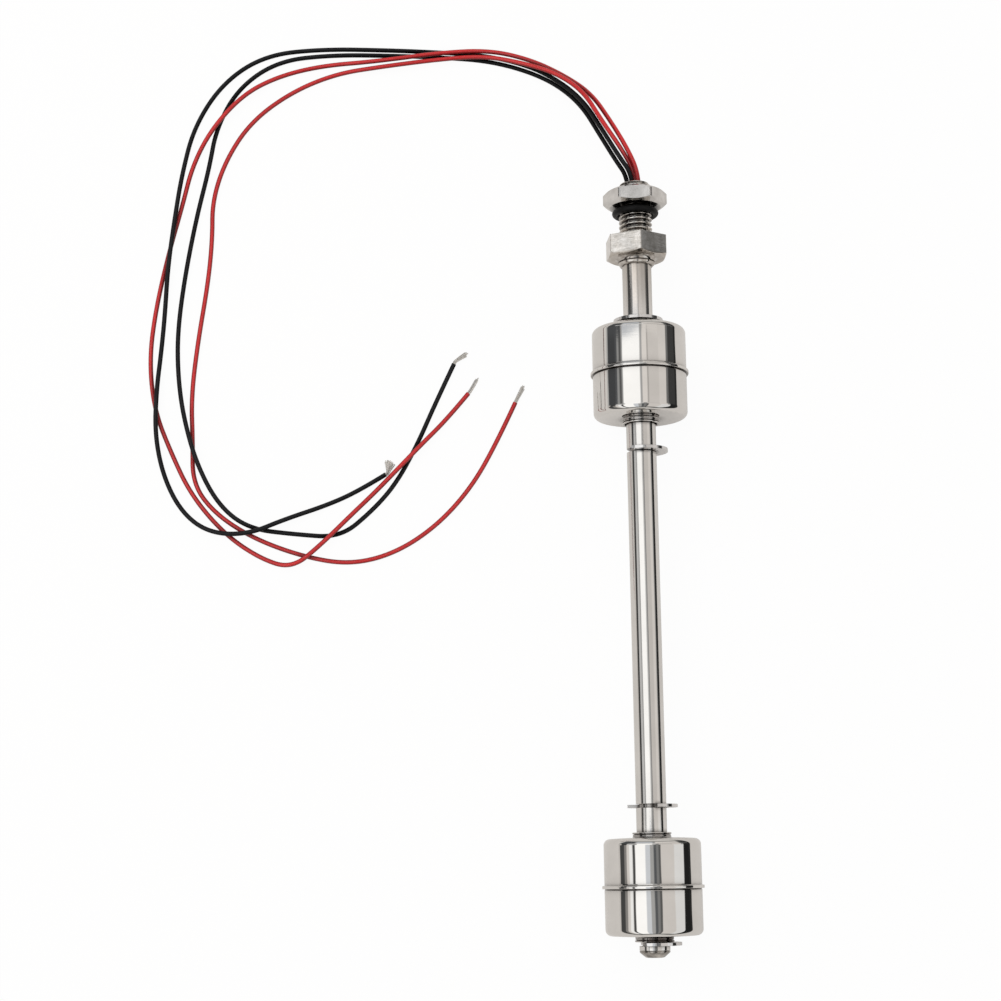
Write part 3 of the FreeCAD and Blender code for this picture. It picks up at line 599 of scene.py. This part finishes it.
def hex_angles(turn, corner):
    """Angles for a hexagon's mesh, close together round its corners and 3 degrees apart on its sides."""
    near = [corner_sizes(corner)[1] * share for share in (0.0, 0.25, 0.5, 0.75, 1.0)]
    side = [3.0 * i for i in range(1, 20)]
    offsets = near + side + [60.0 - value for value in reversed(near[1:])]
    return [math.radians(turn + 60.0 * sixth + offset) for sixth in range(6) for offset in offsets]


def chamfer_rise(radius, face_radius):
    return max(0.0, radius - face_radius) * math.tan(math.radians(CHAMFER_ANGLE))


def hex_outline(angle, turn, corner, start, end, face_radius, bottom_r, top_r, chamfer_top):
    """Outline of a chamfered hexagon at one angle, from its lower to its upper bore."""
    side = hex_radius(angle, turn, corner)
    rise = chamfer_rise(side, face_radius)
    middle_r = (face_radius + side) / 2
    outline = [(bottom_r, start), (face_radius, start), (middle_r, start + rise / 2), (side, start + rise)]
    if chamfer_top:
        outline += [(side, end - rise), (middle_r, end - rise / 2), (face_radius, end)]
    else:
        outline.append((side, end))
    return outline + [(top_r, end)]


def thread_outline(angle):
    """Helical thread from the relief over the hexagon to the chamfered end."""
    start = HEX_TOP + RELIEF_WIDTH
    outline = [(THREAD_ROOT_R, start)]
    steps_per_pitch = 12
    steps = int((TOTAL_LENGTH - start) / THREAD_PITCH * steps_per_pitch)
    for k in range(1, steps + 1):
        station = start + (TOTAL_LENGTH - start) * k / steps
        share = (station / THREAD_PITCH + angle / TURN) % 1.0
        height = min(1.0, max(0.0, THREAD_FLANK * (1 - abs(2 * share - 1)) - THREAD_FLAT))
        crest = THREAD_ROOT_R + (THREAD_R - THREAD_ROOT_R) * height
        into_chamfer = max(0.0, (station - TOTAL_LENGTH + THREAD_CHAMFER) / THREAD_CHAMFER)
        taper_end = THREAD_R - THREAD_CHAMFER * into_chamfer
        taper_start = THREAD_ROOT_R + (station - start) * THREAD_RUNOUT
        outline.append((min(crest, taper_end, taper_start), station))
    return outline


def make_bushing():
    """Hexagon with its chamfered underside, helical thread and bore."""
    face = HEX_TOP - RELIEF_FACE_DEPTH
    seat = STEM_LENGTH + STEM_SEAT

    def outline_at(angle):
        outline = hex_outline(angle, HEX_TURN, HEX_CORNER, STEM_LENGTH, HEX_TOP, HEX_FACE_R, SEAT_R,
                              RELIEF_FACE_R, False)
        outline += [(RELIEF_FACE_R, face), (THREAD_ROOT_R, face)]
        outline += thread_outline(angle)
        outline += [(BUSHING_BORE_R + SHANK_BORE_CHAMFER, TOTAL_LENGTH),
                    (BUSHING_BORE_R, TOTAL_LENGTH - SHANK_BORE_CHAMFER)]
        return outline + [(BUSHING_BORE_R, seat), (SEAT_R, seat)]

    shape = turned(outline_at, hex_angles(HEX_TURN, HEX_CORNER))
    add_skin("threaded_bushing", shape, TURNED, "stem", smooth_angle=28.0)


def make_nut():
    """Lock nut, chamfered on both faces."""
    def outline_at(angle):
        face_bore_r = NUT_BORE_R + NUT_BORE_CHAMFER
        outline = hex_outline(angle, NUT_TURN, NUT_CORNER, NUT_BOTTOM, NUT_TOP, NUT_FACE_R, face_bore_r,
                              face_bore_r, True)
        return outline + [(NUT_BORE_R, NUT_TOP - NUT_BORE_CHAMFER),
                          (NUT_BORE_R, NUT_BOTTOM + NUT_BORE_CHAMFER)]

    shape = turned(outline_at, hex_angles(NUT_TURN, NUT_CORNER))
    add_skin("lock_nut", shape, NUT_STEEL, "stem", smooth_angle=20.0)


def make_weld():
    """Fillet weld under the hexagon: a hollow and, round the stem, a bead with low lobes."""
    bead_steps = 8

    def outline_at(angle):
        lobe = 0.5 + 0.5 * math.cos(WELD_LOBES * angle + 0.9 * math.sin(2 * angle))
        swell = 0.85 + 0.17 * lobe
        outline = [(0.0, 0.0), *WELD_HOLLOW]
        for k in range(bead_steps + 1):          # from under the hollow round to the stem
            turn = math.radians(-35 + 125 * k / bead_steps)
            outline.append((WELD_BEAD_WIDTH * swell * math.cos(turn),
                            WELD_HEIGHT - WELD_BEAD_HEIGHT + WELD_BEAD_HEIGHT * swell * math.sin(turn)))
        return [(SEAT_R + width, STEM_LENGTH - down) for width, down in outline]

    shape = turned(outline_at, round_angles(216))
    add_skin("weld_bead", shape, WELD, "stem", smooth_angle=60.0)


# Wires and their bare ends: for each one the heading of its strands in degrees from +Y towards -X, the half
# width at their tip, their number and their length
STRANDS = {
    "black_wire_1": (-20.0, 1.7, 22, 4.6),
    "black_wire_2": (-51.0, 0.65, 18, 5.6),
    "red_wire_1": (-32.0, 0.42, 12, 6.0),
    "red_wire_2": (-27.0, 0.6, 12, 6.2),
}


def strand_ends(name, tip, direction, heading, tip_width, count, length):
    """Bare strands beyond the insulation's end, bent towards a heading and fanned out."""
    rng = random.Random(name)
    data = new_curve(name, STRAND_R, resolution=8, bevel_resolution=2)
    way = Vector((-math.sin(math.radians(heading)), math.cos(math.radians(heading)), 0.0))
    side = Vector((-way.y, way.x, 0.0)).normalized()
    start_side = Vector((-direction.y, direction.x, 0.0)).normalized()
    for i in range(count):
        place = 2 * i / (count - 1) - 1
        depth = rng.uniform(-1.0, 1.0) * math.sqrt(max(0.0, 1 - place * place)) * CORE_HALF_HEIGHT
        root = tip + start_side * (CORE_HALF_WIDTH * place)
        root.z += depth
        reach = length * rng.uniform(0.84, 1.0) * (1 - 0.12 * place * place)     # outer strands end sooner
        fan = tip_width * place * rng.uniform(0.85, 1.1)
        end_height = tip.z + (depth * 0.7 + rng.uniform(-0.06, 0.1))
        bend = root + direction * (length * 0.16)
        middle = tip + direction * (length * 0.1) + way * (reach * 0.45) + side * (0.27 * place + 0.4 * fan)
        ahead = tip + way * reach + side * fan
        points = [root - direction * 0.8, root, bend, middle, ahead]
        heights = [point.z for point in points[:3]] + [end_height, end_height]
        add_spline(data, [(point.x, point.y, max(height, STRAND_FLOOR))
                          for point, height in zip(points, heights)])
    data.materials.append(TINNED)
    return link(bpy.data.objects.new(name, data))


def make_wires():
    """Insulated wires along their routes, with the bare strands at their ends."""
    for name, points in WIRE_ROUTES.items():
        data = new_curve(name + "_jacket", WIRE_D / 2, resolution=10, bevel_resolution=6)
        add_spline(data, points)
        wire = link(bpy.data.objects.new(name + "_jacket", data))
        red = name.startswith("red")
        data.materials.append(RED_WIRE if red else BLACK_WIRE)
        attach(wire, "stem")
        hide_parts(name)
        tip = Vector(points[-1])
        direction = (tip - Vector(points[-2])).normalized()
        strands = strand_ends(name.replace("wire", "strands"), tip, direction, *STRANDS[name])
        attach(strands, "stem")
        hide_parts(name.replace("wire", "core"))
        [value * MM for value in points[0]]


def dress_nodes():
    """Materials of the modelled nodes that show or lie inside."""
    looks = {"clip": SPRING, "sealing_ring": RUBBER, "potting": EPOXY, "magnet_retainers": SPRING,
             "magnet": FERRITE, "glass": GLASS, "blades": BLADE, "sleeve": SLEEVE, "lead": SLEEVE}
    for name, obj in NODES.items():
        for word, material in looks.items():
            if name.endswith(word):
                for material_slot in obj.material_slots:
                    material_slot.material = material
                break


make_wires()
make_stem()
make_floats()
make_bushing()
make_nut()
make_weld()
dress_nodes()


# Floor, studio and light

WHITE = (1.0, 1.0, 1.0)
SHEET = (0.73, 0.705, 0.68)
SHEET_SHARE = 0.95                    # how much of the sheet's white the camera sees without any shadow
SHEET_IN_METAL = (0.72, 0.69, 0.66)
SHEET_IN_METAL_SHARE = 0.4
SHEET_EDGE = (0.18, 0.22)             # X, in metres, where the painted dark reflection that the metal shows begins beyond the sheet
# Painted dark reflection: beyond the sheet's edge the floor looks this dark only to glossy rays, while the
# camera sees the white sheet
DARK_IN_METAL = (0.03, 0.03, 0.03)


def seen_directly(tree, path):
    """1 for what the camera sees, also through something clear."""
    return combined(tree, "MAXIMUM", path.outputs["Is Camera Ray"], path.outputs["Is Transmission Ray"])


def glow(tree):
    """Emission, as its colour's socket and its output."""
    made = node(tree, "ShaderNodeEmission")
    return made.inputs["Color"], made.outputs["Emission"]


def mixed_shader(tree, factor, first, second):
    made = node(tree, "ShaderNodeMixShader")
    tree.links.new(factor, made.inputs["Fac"])
    tree.links.new(first, made.inputs[1])
    tree.links.new(second, made.inputs[2])
    return made.outputs["Shader"]


def make_floor():
    """Pale sheet that is white for the camera and keeps a faint shadow, also in the metal, and that beyond
    the sheet's edge gives the metal a painted dark reflection."""
    mesh = bpy.data.meshes.new("floor")
    half = 3.0
    corners = [(-half, -half, 0), (half, -half, 0), (half, half, 0), (-half, half, 0)]
    mesh.from_pydata(corners, [], [(0, 1, 2, 3)])
    floor = link(bpy.data.objects.new("floor", mesh))
    material = bpy.data.materials.new("floor")
    material.use_nodes = True
    tree = material.node_tree
    tree.nodes.clear()
    path = node(tree, "ShaderNodeLightPath")
    glossy = path.outputs["Is Glossy Ray"]
    diffuse = node(tree, "ShaderNodeBsdfDiffuse")
    diffuse.inputs["Color"].default_value = (*SHEET, 1.0)
    white_color, white = glow(tree)
    tree.links.new(mixed(tree, glossy, WHITE, SHEET_IN_METAL), white_color)
    direct = spread(tree, seen_directly(tree, path), 0.0, SHEET_SHARE, 0.0, 1.0)
    reflected = spread(tree, glossy, 0.0, SHEET_IN_METAL_SHARE, 0.0, 1.0)
    share = combined(tree, "MAXIMUM", direct, reflected)
    sheet = mixed_shader(tree, share, diffuse.outputs["BSDF"], white)
    place = node(tree, "ShaderNodeNewGeometry")
    beyond = spread(tree, split(tree, place.outputs["Position"])["X"], 0.0, 1.0, *SHEET_EDGE)
    # Painted dark reflection in the metal beyond the sheet's edge
    dark_in_metal_color, dark_in_metal = glow(tree)
    dark_in_metal_color.default_value = (*DARK_IN_METAL, 1.0)
    surface = mixed_shader(tree, combined(tree, "MULTIPLY", beyond, glossy), sheet, dark_in_metal)
    output = node(tree, "ShaderNodeOutputMaterial")
    tree.links.new(surface, output.inputs["Surface"])
    mesh.materials.append(material)


PLAIN = (1.0, 1.0, 1.0)
WARM = (1.0, 0.955, 0.92)
COOL = (0.94, 0.98, 1.04)

# The studio that the metal shows: soft boxes and dark gaps that run along the switch, in sections one beyond
# the other. Each box has the angle in degrees from straight up where it starts, positive towards +X, then its
# light and its tint.
TIP_SECTION = [
    (-180, 0.80, WARM), (-87, 0.08, PLAIN), (-74, 0.32, WARM), (-67, 0.9, WARM), (-60, 1.2, PLAIN),
    (-52, 0.08, PLAIN), (-46, 1.42, PLAIN), (-20, 0.88, COOL), (-9, 0.5, PLAIN), (-1, 0.14, COOL),
    (5, 0.27, PLAIN), (11, 0.13, PLAIN), (16, 0.84, WARM), (48, 0.97, PLAIN), (74, 0.02, PLAIN),
]
STEM_SECTION = [
    (-180, 0.66, WARM), (-82, 0.06, PLAIN), (-66, 0.7, PLAIN), (-50, 0.48, PLAIN), (-41, 1.4, PLAIN),
    (-4, 0.7, PLAIN), (4, 0.34, PLAIN), (12, 0.75, WARM), (44, 0.88, WARM), (67, 0.4, PLAIN),
    (74, 0.03, PLAIN),
]
FLOAT_SECTION = [
    (-180, 0.78, WARM), (-100, 0.6, PLAIN), (-87, 0.08, COOL), (-66, 0.12, COOL), (-61, 0.38, PLAIN),
    (-55, 0.13, PLAIN), (-49, 0.4, PLAIN), (-45, 1.4, PLAIN), (-3, 0.5, PLAIN), (2, 0.97, WARM),
    (14, 0.5, WARM), (17, 0.8, WARM), (44, 0.88, WARM), (64, 0.22, PLAIN), (70, 0.06, PLAIN),
]
FAR_SECTION = [
    (-180, 0.78, WARM), (-100, 0.6, PLAIN), (-87, 0.1, COOL), (-49, 0.45, PLAIN), (-45, 0.72, COOL),
    (-3, 0.42, PLAIN), (4, 0.9, WARM), (43, 0.85, WARM), (64, 0.22, PLAIN), (70, 0.06, PLAIN),
]
NECK_SECTION = [
    (-180, 0.58, WARM), (-84, 0.09, PLAIN), (-60, 0.26, PLAIN), (-50, 0.5, PLAIN), (-42, 1.42, WARM),
    (-10, 1.0, WARM), (-2, 0.62, WARM), (6, 0.78, WARM), (28, 0.64, WARM), (61, 0.3, WARM),
    (70, 0.07, PLAIN),
]
HEX_SECTION = [
    (-180, 0.6, WARM), (-86, 0.1, PLAIN), (-64, 1.7, PLAIN), (-35, 0.9, PLAIN), (-11, 0.5, PLAIN),
    (-2, 1.0, PLAIN), (17, 0.75, WARM), (60, 0.36, PLAIN),
]
NUT_SECTION = [(-180, 0.62, WARM), (-96, 0.02, PLAIN), (-9, 0.5, PLAIN), (-5, 1.25, PLAIN), (8, 0.04, PLAIN)]
BOX_EDGE = 0.7                        # half the width, in degrees, in which one box blends into the next one

# Y of the direction where each section after the tip's one starts
SECTION_STARTS = (
    (STEM_SECTION, 0.020), (FLOAT_SECTION, 0.210), (FAR_SECTION, 0.2475), (NECK_SECTION, 0.260),
    (HEX_SECTION, 0.282), (NUT_SECTION, 0.303), (FAR_SECTION, 0.335),
)
SECTION_BLEND = 0.003
# Ends of the studio: a dark frame and light walls beyond it, by the distance of Y from the middle
STUDIO_MIDDLE = -0.08
FRAME_START, FRAME_COLOR = (0.76, 0.80), (0.16, 0.16, 0.16)
WALL_START, WALL_COLOR = (0.86, 0.90), (0.78, 0.76, 0.73)
ROOM_LIGHT = (0.75, 0.75, 0.76)       # for everything that isn't glossy


def soft_boxes(tree, around, boxes):
    """Light of one section of the studio."""
    ramp = node(tree, "ShaderNodeValToRGB")
    tree.links.new(around, ramp.inputs["Fac"])
    stops = []
    for (_, light, tint), (degrees, next_light, next_tint) in zip(boxes, boxes[1:]):
        stops.append((degrees - BOX_EDGE, [light * part for part in tint]))
        stops.append((degrees + BOX_EDGE, [next_light * part for part in next_tint]))
    elements = ramp.color_ramp.elements
    elements[1].position = 1.0
    for degrees, color in stops[1:-1]:
        elements.new(degrees / 360 + 0.5)
    for element, (degrees, color) in zip(elements, stops):
        element.position = degrees / 360 + 0.5
        element.color = (*color, 1.0)
    return ramp.outputs["Color"]


def make_world():
    """White for the camera, plain grey light, and the sections of the studio for glossy surfaces."""
    world = bpy.data.worlds.new("studio")
    bpy.context.scene.world = world
    world.use_nodes = True
    tree = world.node_tree
    tree.nodes.clear()
    coords = node(tree, "ShaderNodeTexCoord")
    axes = split(tree, coords.outputs["Generated"])
    angle = combined(tree, "ARCTAN2", axes["X"], axes["Z"])
    around = spread(tree, angle, 0.0, 1.0, -math.pi, math.pi)
    studio = soft_boxes(tree, around, TIP_SECTION)
    for boxes, start in SECTION_STARTS:
        begun = spread(tree, axes["Y"], 0.0, 1.0, start, start + SECTION_BLEND)
        studio = mixed(tree, begun, studio, soft_boxes(tree, around, boxes))
    from_middle = combined(tree, "ABSOLUTE", combined(tree, "ADD", axes["Y"], -STUDIO_MIDDLE))
    studio = mixed(tree, spread(tree, from_middle, 0.0, 1.0, *FRAME_START), studio, FRAME_COLOR)
    studio = mixed(tree, spread(tree, from_middle, 0.0, 1.0, *WALL_START), studio, WALL_COLOR)
    path = node(tree, "ShaderNodeLightPath")
    lit = mixed(tree, path.outputs["Is Glossy Ray"], ROOM_LIGHT, studio)
    background = node(tree, "ShaderNodeBackground")
    tree.links.new(mixed(tree, seen_directly(tree, path), lit, WHITE), background.inputs["Color"])
    output = node(tree, "ShaderNodeOutputWorld")
    tree.links.new(background.outputs["Background"], output.inputs["Surface"])


LAMP_SIZE = (0.9, 1.2)
LAMP_PLACE = (-0.45, 0.25, 1.1)
LAMP_POWER = 9.0


def make_lamp():
    """Large soft box over the left side, aimed at the switch."""
    data = bpy.data.lights.new("soft_box", "AREA")
    data.shape = "RECTANGLE"
    data.size, data.size_y = LAMP_SIZE
    data.energy = LAMP_POWER
    lamp = link(bpy.data.objects.new("soft_box", data))
    lamp.location = LAMP_PLACE
    lamp.rotation_euler = (-Vector(lamp.location)).to_track_quat("-Z", "Y").to_euler()
    lamp.visible_glossy = False


make_floor()
make_world()
make_lamp()

view = bpy.context.scene.view_settings
view.view_transform = "Standard"
